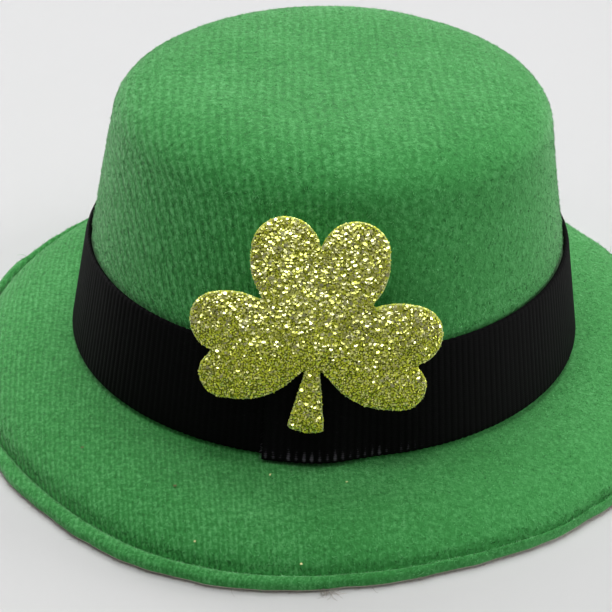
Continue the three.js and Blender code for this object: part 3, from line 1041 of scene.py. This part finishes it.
def build_edge_fibres(felt, materials):
    """Stray fibres that hang out of the trimmed edge."""
    rng = np.random.default_rng(SEED + 1)
    n = EDGE.count
    angle = rng.uniform(0, 2 * np.pi, n)
    loose = np.arange(n) < EDGE.loose_count
    angle = np.where(loose, EDGE.loose_at + rng.normal(0.0, EDGE.loose_width, n), angle)
    column = angle / (2 * np.pi) * FELT_AROUND
    left = np.floor(column).astype(int) % FELT_AROUND
    over = (column - np.floor(column))[:, None]
    edge = between(felt.edge[left], felt.edge[(left + 1) % FELT_AROUND], over)
    outward = unit(edge)
    beside = np.stack([-outward[:, 1], outward[:, 0]], axis=1)
    low = loose | (rng.random(n) < EDGE.low_share)
    z = np.where(low, rng.uniform(*EDGE.low_z, n), rng.uniform(*EDGE.high_z, n))
    steps = EDGE.steps
    t = np.linspace(0.0, 1.0, steps)
    long_one = loose | (rng.random(n) < EDGE.long_share)
    length = np.where(long_one, rng.uniform(*EDGE.long, n), rng.uniform(*EDGE.short, n))
    length = (length * np.where(loose, EDGE.loose_length, 1.0))[:, None]
    swing = rng.normal(0.0, EDGE.swing, n)
    curl = rng.normal(0.0, EDGE.curl, n) * np.where(loose, EDGE.loose_curl, 1.0)
    heading = swing[:, None] + curl[:, None] * t
    forward = np.cumsum(np.cos(heading), axis=1) / steps * length - EDGE.root
    sideways = np.cumsum(np.sin(heading), axis=1) / steps * length
    flat = edge[:, None] + outward[:, None] * forward[..., None] + beside[:, None] * sideways[..., None]
    rise = rng.normal(0.0, EDGE.rise, n)[:, None] * t * length
    height = np.clip(z[:, None] + rise, *EDGE.span_z)
    paths = np.concatenate([flat, height[..., None]], axis=2)
    radii = rng.uniform(*EDGE.radius, n)
    slots = np.where(low, rng.integers(0, 2, n), 2)
    add_tubes("edge_fibres", paths, radii, materials, slots)


def lap_flare(height):
    """How far the lap stands out at a height above its lower edge."""
    return BAND.lap_flare * np.maximum(0.0, 1.0 - height / BAND.flare_height) ** 2


def build_ribbon(material):
    """The band as one ribbed strip from its outer end, once round the crown, to the tucked end."""
    middle = BAND.bottom_z + BAND.height / 2
    dense = np.linspace(0.0, 360 + BAND.lap_degrees, BAND.route_steps)
    travel = travelled(on_wall(np.radians(dense), middle, GAP + BAND.thickness))
    length = travel[-1]
    ribs = int(round(length / RIB_PITCH))
    stations = ribs * RIB_STEPS + 1
    along = np.linspace(0.0, length, stations)
    passed = np.interp(along, travel, dense)
    rng = np.random.default_rng(SEED + 2)
    number = np.minimum(np.arange(stations) // RIB_STEPS, ribs - 1)
    phase = (np.arange(stations) % RIB_STEPS) / RIB_STEPS
    crest = np.sin(np.pi * phase) ** RIB_ROUNDNESS * rng.uniform(*RIB_SIZES, ribs)[number]
    # Paler crests at the lap: painted highlight where the ribs catch light.
    crest_highlight = crest ** 2 * rng.uniform(*RIB_HIGHLIGHT, ribs)[number]
    lap = 1.0 - ease(passed, BAND.lap_degrees, BAND.lap_degrees + BAND.ramp_degrees)
    lift = GAP + BAND.lap_lift * lap
    bottom = BAND.bottom_z - BAND.lap_drop * (1.0 - ease(passed, 0.0, BAND.drop_degrees))
    heights = np.array([share * BAND.height for share, _ in BAND_ROWS])
    rings = []
    for height, (share, thick) in zip(heights, BAND_ROWS):
        scallop = SCALLOP * crest * {0.0: -1.0, 1.0: 1.0}.get(share, 0.0)
        out = lift + (BAND.thickness + RIB_HEIGHT * crest) * thick + lap * lap_flare(height)
        rings.append(on_wall(np.radians(passed), bottom + height + scallop, out))
    section = len(rings)
    points = np.stack(rings, axis=1).reshape(-1, 3)
    loop = np.arange(section)
    caps = np.stack([loop[::-1], (stations - 1) * section + loop])
    faces = [ring_quads(stations, section), caps]
    piece = add_piece("ribbon_band", points, faces, [material])
    set_pair(piece, "weave", np.repeat(along, section), np.tile(heights, stations))
    # The lap's lower edge is painted paler, as highlight on its ribs.
    below = np.clip(1.0 - heights / BAND.highlight_height, 0.0, 1.0) * ease(heights, 0.0, BAND.highlight_from)
    lap_highlight = (1.0 - ease(passed, *BAND.highlight_degrees)) * crest_highlight
    set_pair(piece, "wear_and_highlight", (lap_highlight[:, None] * below).ravel())
    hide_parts("hat_band")


def build_lap_threads(materials):
    """Short ends of yarn that stick out of the ribbon's cut end."""
    rng = np.random.default_rng(SEED + 5)
    n = THREADS.count
    height = rng.uniform(*THREADS.height, n) ** THREADS.gather * BAND.height
    depth = BAND.thickness * rng.uniform(*THREADS.depth, n)
    out = GAP + BAND.lap_lift + lap_flare(height) + depth
    roots = on_wall(np.zeros(n), BAND.bottom_z - BAND.lap_drop + height, out)
    steps = np.linspace(THREADS.tucked, 1.0, THREADS.steps)[None, :, None]
    lengths = rng.uniform(*THREADS.length, n)[:, None, None]
    forward = rng.normal(*THREADS.forward, n)
    way = np.stack([np.full(n, -1.0), forward, rng.normal(*THREADS.upward, n)], axis=1)[:, None]
    sag = np.array([0.0, 0.0, -1.0]) * rng.uniform(*THREADS.sag, n)[:, None, None] * steps ** 2
    paths = roots[:, None] + lengths * (steps * way + sag)
    # Yarn ends low on the lap take the painted highlight's colour.
    slots = (height < BAND.highlight_height).astype(int)
    radii = rng.uniform(*THREADS.radius, n)
    add_tubes("ribbon_yarn_ends", paths, radii, materials, slots)


def leaf_outline():
    """The shamrock's outline, counter-clockwise."""
    right = []
    for x, y, radius, first, last in LEAF_ROWS:
        steps = max(1, int(math.ceil((first - last) / SHAMROCK.arc_step))) if radius else 0
        for k in range(steps + 1):
            angle = math.radians(between(first, last, k / steps if steps else 0.0))
            right.append((x + radius * math.cos(angle), y + radius * math.sin(angle)))
    left = [(-x, y) for x, y in reversed(right)]
    outline = np.array(right + STEM + left)[::-1]
    closed = np.concatenate([outline, outline[:1]])
    outline = even_path(closed, SHAMROCK.outline_step)[:-1]
    for _ in range(SHAMROCK.corner_passes):
        outline = evened(outline)
    return outline


def evened(outline):
    """A closed outline with each point drawn halfway towards the middle of its neighbours."""
    return 0.5 * outline + 0.25 * (np.roll(outline, 1, axis=0) + np.roll(outline, -1, axis=0))


def inward_normals(outline):
    along = unit(np.roll(outline, -1, axis=0) - np.roll(outline, 1, axis=0))
    return np.stack([-along[:, 1], along[:, 0]], axis=1)


def inset_outline(outline, distance):
    """The outline moved inwards in small steps, evened at each so that it never crosses itself."""
    steps = int(math.ceil(distance / INSET_STEP))
    for _ in range(steps):
        outline = evened(outline + inward_normals(outline) * (distance / steps))
    return outline


def inside_outline(points, outline):
    """Which points are inside a closed outline."""
    x, y = points[:, 0:1], points[:, 1:2]
    x0, y0 = outline[:, 0], outline[:, 1]
    x1, y1 = np.roll(x0, -1), np.roll(y0, -1)
    spans = (y0 <= y) != (y1 <= y)
    reach = x0 + (y - y0) / np.where(y1 == y0, TINY, y1 - y0) * (x1 - x0)
    return (spans & (x < reach)).sum(axis=1) % 2 == 1


def outline_distance(points, outline):
    """How far points are from the outline."""
    nearest = np.full(len(points), np.inf)
    for a, b in zip(outline, np.roll(outline, -1, axis=0)):
        along = b - a
        share = np.clip(((points - a) @ along) / max(along @ along, TINY), 0.0, 1.0)
        nearest = np.minimum(nearest, np.linalg.norm(points - a - share[:, None] * along, axis=1))
    return nearest


def box_grid(outline, spacing):
    """An even grid of places over the outline's box."""
    low, high = outline.min(axis=0), outline.max(axis=0)
    x, y = np.meshgrid(np.arange(low[0], high[0], spacing), np.arange(low[1], high[1], spacing))
    return np.stack([x.ravel(), y.ravel()], axis=1)


def shamrock_axes():
    """Where the shamrock's fixing point is, and its directions across, up and forward."""
    azimuth = SHAMROCK.azimuth
    out = np.array([math.sin(azimuth), -math.cos(azimuth), 0.0])
    across = np.array([math.cos(azimuth), math.sin(azimuth), 0.0])
    run = CROWN.foot_half_width - CROWN.rim_half_width
    lean = math.tan(math.atan2(run, CROWN.rim_z - CROWN.foot_z) + SHAMROCK.lean)
    up = unit(np.array([0.0, 0.0, 1.0]) - lean * out)
    forward = np.cross(across, up)
    place = on_wall(np.array([azimuth]), SHAMROCK.fixing_z, SHAMROCK.stand_off)[0]
    turn = SHAMROCK.turn
    return place, swung(across, up, turn), swung(up, -across, turn), forward


def bent(flat, height):
    """Points of the bent foam from their place on its outline and height above its back."""
    place, across, up, forward = shamrock_axes()
    radius = SHAMROCK.bend_radius
    depth = np.sqrt((radius + height) ** 2 - flat[:, 0] ** 2) - radius
    depth -= SHAMROCK.curl * np.maximum(flat[:, 1] - SHAMROCK.curl_from, 0.0) ** 2
    return place + flat[:, :1] * across + flat[:, 1:2] * up + depth[:, None] * forward


def foam_front(distance):
    """Height and slope of the foam's swollen front at a distance in from the outline."""
    inset, edge_height = FOAM_ROWS[-1]
    left = 1.0 - np.clip((distance - inset) / DOME_REACH, 0.0, 1.0)
    return edge_height + DOME_HEIGHT * (1.0 - left ** 2), 2.0 * DOME_HEIGHT / DOME_REACH * left


def inward_directions(points, outline):
    """Directions in the foam's plane away from the nearest part of the outline."""
    here = outline_distance(points, outline)
    rise = [outline_distance(points + offset, outline) - here for offset in np.eye(2) * SLOPE_STEP]
    return np.stack(rise, axis=1) / SLOPE_STEP


def swollen_normals(flat, slope, inward):
    """Directions out of the foam's bent and swollen front."""
    _, across, up, forward = shamrock_axes()
    turn = np.arcsin(flat[:, 0] / (SHAMROCK.bend_radius + SHAMROCK.thickness))
    back = 2.0 * SHAMROCK.curl * np.maximum(flat[:, 1:2] - SHAMROCK.curl_from, 0.0)
    normals = unit(swung(forward, across, turn) + up * back)
    return unit(normals - slope[:, None] * (inward[:, :1] * across + inward[:, 1:] * up))


def filled(ring, first, offset):
    """Triangles that fill a ring with an even grid of extra points, numbered from offset."""
    grid = box_grid(ring, FOAM_GRID)
    grid = grid[inside_outline(grid, ring)]
    grid = grid[outline_distance(grid, ring) > GRID_MARGIN * FOAM_GRID]
    flat = np.concatenate([ring, grid])
    count = len(ring)
    edges = [(k, (k + 1) % count) for k in range(count)]
    result = delaunay_2d_cdt([Vector(p) for p in flat], edges, [], 1, 1e-6)
    sources = [origin[0] for origin in result[3]]
    numbers = np.append(first + np.arange(count), offset + np.arange(len(grid)))
    triangles = np.array([[numbers[sources[k]] for k in face] for face in result[2]])
    return grid, triangles


def build_foam(foam, glue):
    """The foam shamrock with soft pressed edges."""
    outline = leaf_outline()
    count = len(outline)
    flats = [inset_outline(outline, inset) for inset, _ in FOAM_ROWS]
    rings = [bent(flat, height) for flat, (_, height) in zip(flats, FOAM_ROWS)]
    rows = len(rings)
    quads = ring_quads(rows, count)
    back_grid, back = filled(flats[0], 0, rows * count)
    front_grid, front = filled(flats[-1], (rows - 1) * count, rows * count + len(back_grid))
    front_height, _ = foam_front(outline_distance(front_grid, outline))
    back_points = bent(back_grid, np.zeros(len(back_grid)))
    points = np.concatenate(rings + [back_points, bent(front_grid, front_height)])
    face_slots = np.repeat([0, 1], [len(quads) + len(back), len(front)])
    faces = [quads, np.concatenate([back[:, ::-1], front])]
    piece = add_piece("shamrock_foam", points, faces, [foam, glue], face_slots)
    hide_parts("shamrock")
    return outline


def flakes(centres, normals, radii, tilt, rng):
    """Points and faces of closed six-sided flakes: a flat front, and a point behind."""
    count = len(centres)
    helper = np.where(np.abs(normals[:, 2:3]) < FACING_UP, (0.0, 0.0, 1.0), (1.0, 0.0, 0.0))
    across = unit(np.cross(helper, normals))
    other = np.cross(normals, across)
    lean = rng.normal(0.0, 1.0, (count, 2)) * tilt
    facing = unit(normals + across * lean[:, :1] + other * lean[:, 1:])
    across = unit(np.cross(other, facing))
    other = np.cross(facing, across)
    step = 2 * np.pi / FLAKE_SIDES
    spin = rng.uniform(0.0, step, count)
    reach = radii[:, None] * rng.uniform(*FLAKE_SHAPE, (count, FLAKE_SIDES))
    corners = []
    for k in range(FLAKE_SIDES):
        corners.append(centres + swung(across, other, spin + k * step) * reach[:, k:k + 1])
    points = np.stack(corners + [centres - facing * FLAKE_DEPTH], axis=1).reshape(-1, 3)
    sides = range(FLAKE_SIDES)
    front = repeated([list(sides)], count, FLAKE_SIDES + 1)
    pattern = [[(k + 1) % FLAKE_SIDES, k, FLAKE_SIDES] for k in sides]
    return points, [front, repeated(pattern, count, FLAKE_SIDES + 1)]


def add_flakes(name, shapes, materials, tone):
    """A piece of flakes, each in the material that its tone numbers."""
    points, faces = shapes
    face_slots = np.concatenate([tone, np.repeat(tone, FLAKE_SIDES)])
    add_piece(name, points, faces, materials, face_slots, smooth=False)


def scattered(outline, spacing, margin, rng):
    """Uneven places over the foam's front, their distance from the outline and the way inwards."""
    flat = box_grid(outline, spacing)
    flat += rng.uniform(-0.5, 0.5, flat.shape) * spacing
    flat = flat[inside_outline(flat, outline)]
    distance = outline_distance(flat, outline)
    inward = inward_directions(flat, outline)
    bare = margin * between(UPPER_MARGIN, 1.0, ease(inward[:, 1], *UPPER_EDGE))
    kept = distance > bare * rng.uniform(*MARGIN_SPREAD, len(flat))
    return flat[kept], distance[kept], inward[kept]


def overhanging(outline, rng):
    """Places, directions and sizes of the fine flakes that hang over the cut edge."""
    outward = -inward_normals(outline)
    picked = rng.integers(0, len(outline), OVERHANG.count)
    upper, other = OVERHANG.shares
    share = between(other, upper, ease(outward[picked, 1], *OVERHANG.upper))
    picked = picked[rng.random(len(picked)) < share]
    count = len(picked)
    outward = outward[picked]
    step = np.roll(outline, -1, axis=0)[picked] - outline[picked]
    flat = outline[picked] + step * rng.random((count, 1)) + OVERHANG.stand_off * outward
    centres = bent(flat, rng.uniform(*OVERHANG.height, count))
    _, across, up, forward = shamrock_axes()
    facing = outward[:, :1] * across + outward[:, 1:] * up
    normals = unit(facing + rng.uniform(*OVERHANG.forward, (count, 1)) * forward)
    return centres, normals, rng.uniform(*OVERHANG.radius, count)


def build_glitter(outline, materials, large_materials):
    """Glitter over the shamrock's front: a ground of fine flakes under scattered large ones."""
    rng = np.random.default_rng(SEED + 3)
    flat, distance, inward = scattered(outline, FINE.spacing, FINE.margin, rng)
    level, slope = foam_front(distance)
    centres = bent(flat, level + rng.uniform(*FINE.height, len(flat)))
    radii = rng.uniform(*FINE.radius, len(flat))
    normals = swollen_normals(flat, slope, inward)
    flatter = between(FINE.rim_tilt, 1.0, ease(distance, 0.0, RIM_REACH))
    edge_centres, edge_normals, edge_radii = overhanging(outline, rng)
    centres = np.concatenate([centres, edge_centres])
    normals = np.concatenate([normals, edge_normals])
    radii = np.concatenate([radii, edge_radii])
    tilt = FINE.tilt * np.append(flatter, np.ones(len(edge_radii)))[:, None]
    shapes = flakes(centres, normals, radii, tilt, rng)
    tone = rng.choice(len(materials), len(centres), p=FINE.tones)
    add_flakes("shamrock_glitter", shapes, materials, tone)

    flat, distance, inward = scattered(outline, LARGE.spacing, LARGE.margin, rng)
    level, slope = foam_front(distance)
    share = LARGE.share + LARGE.upper_share * ease(flat[:, 1], *LARGE.upper)
    share -= LARGE.slope_share * slope * inward[:, 1]
    kept = rng.random(len(flat)) < share
    flat, level, slope, inward = flat[kept], level[kept], slope[kept], inward[kept]
    _, _, up, _ = shamrock_axes()
    normals = unit(swollen_normals(flat, slope, inward) + LARGE.lean * up)
    centres = bent(flat, level + rng.uniform(*LARGE.height, len(flat)))
    radii = rng.uniform(*LARGE.radius, len(flat))
    shapes = flakes(centres, normals, radii, LARGE.tilt, rng)
    tone = (rng.random(len(flat)) > LARGE.white).astype(int)
    add_flakes("shamrock_large_glitter", shapes, large_materials, tone)


def build_specks(felt, glitter, lint):
    """Loose glitter and lint on the brim."""
    rng = np.random.default_rng(SEED + 4)
    for number, (x, y, size, glitters) in enumerate(SPECK_ROWS, 1):
        centre, normal = felt.on_brim(x, y)
        centre = centre + normal * SPECK_LIFT
        shapes = flakes(centre[None], normal[None], np.array([size]), SPECK_TILT, rng)
        material, slot = (glitter, "glitter_foam") if glitters else (lint, "green_felt")
        add_flakes(f"speck_{number}", shapes, [material], np.zeros(1, int))


def add_camera():
    elevation, azimuth, roll = CAMERA.elevation, CAMERA.azimuth, CAMERA.roll
    back = Vector((
        math.sin(azimuth) * math.cos(elevation),
        -math.cos(azimuth) * math.cos(elevation),
        math.sin(elevation),
    ))
    right = Vector((math.cos(azimuth), math.sin(azimuth), 0.0))
    up = back.cross(right)
    rolled_right = right * math.cos(roll) + up * math.sin(roll)
    rolled_up = up * math.cos(roll) - right * math.sin(roll)
    place = (Vector(CAMERA.target) + back * CAMERA.distance) * MM
    data = bpy.data.cameras.new("photo_camera")
    data.lens = CAMERA.lens
    data.sensor_width = CAMERA.sensor
    data.sensor_fit = "HORIZONTAL"
    data.clip_start = CAMERA.clip_start
    camera = bpy.data.objects.new("photo_camera", data)
    turned = Matrix((rolled_right, rolled_up, back)).transposed().to_4x4()
    camera.matrix_world = Matrix.Translation(place) @ turned
    bpy.context.scene.collection.objects.link(camera)
    bpy.context.scene.camera = camera


def add_light():
    for name, place, size, power, spread in LIGHT_ROWS:
        data = bpy.data.lights.new(name, "AREA")
        data.shape = "SQUARE"
        data.size = size
        data.energy = power
        data.spread = math.radians(spread)
        light = bpy.data.objects.new(name, data)
        light.location = place
        light.rotation_euler = (AIM - Vector(place)).to_track_quat("-Z", "Y").to_euler()
        bpy.context.scene.collection.objects.link(light)
    world = bpy.data.worlds.new("soft_room")
    world.use_nodes = True
    sky = world.node_tree.nodes["Background"]
    sky.inputs["Color"].default_value = (1.0, 1.0, 1.0, 1.0)
    sky.inputs["Strength"].default_value = WORLD_STRENGTH
    bpy.context.scene.world = world
    bpy.context.scene.view_settings.view_transform = "Standard"


def add_floor():
    half = FLOOR_HALF
    corners = [(-half, -half, 0), (half, -half, 0), (half, half, 0), (-half, half, 0)]
    mesh = bpy.data.meshes.new("floor")
    mesh.from_pydata(corners, [], [(0, 1, 2, 3)])
    mesh.materials.append(floor_material())
    floor = bpy.data.objects.new("floor", mesh)
    bpy.context.scene.collection.objects.link(floor)


def main():
    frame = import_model()
    add_camera()
    add_floor()
    add_light()

    fibres = {name: fibre_material(name, *look) for name, look in FIBRE_LOOKS.items()}
    glitter = {name: flake_material(name, *look) for name, look in FLAKE_LOOKS.items()}
    felt = Felt()
    build_felt(felt, [knit_material(), cut_edge_material(), backing_material()])
    build_nap(felt, [fibres[name] for name in ("nap_light", "nap_middle", "nap_dark")])
    edge_names = ("backing_fibre_pale", "backing_fibre_dark", "nap_light")
    build_edge_fibres(felt, [fibres[name] for name in edge_names])
    build_ribbon(ribbon_material())
    build_lap_threads([fibres["yarn_black"], fibres["yarn_highlight"]])
    outline = build_foam(foam_side_material(), glue_material())
    fine = [glitter[f"glitter_{tone}_gold"] for tone in ("bright", "olive", "lime")]
    large = [glitter[f"glitter_{tone}_gold"] for tone in ("white", "pale")]
    build_glitter(outline, fine, large)
    build_specks(felt, glitter["loose_glitter"], fibres["lint"])
    frame["nodes"]["hair_clip"].data.materials[0] = steel_material()


main()
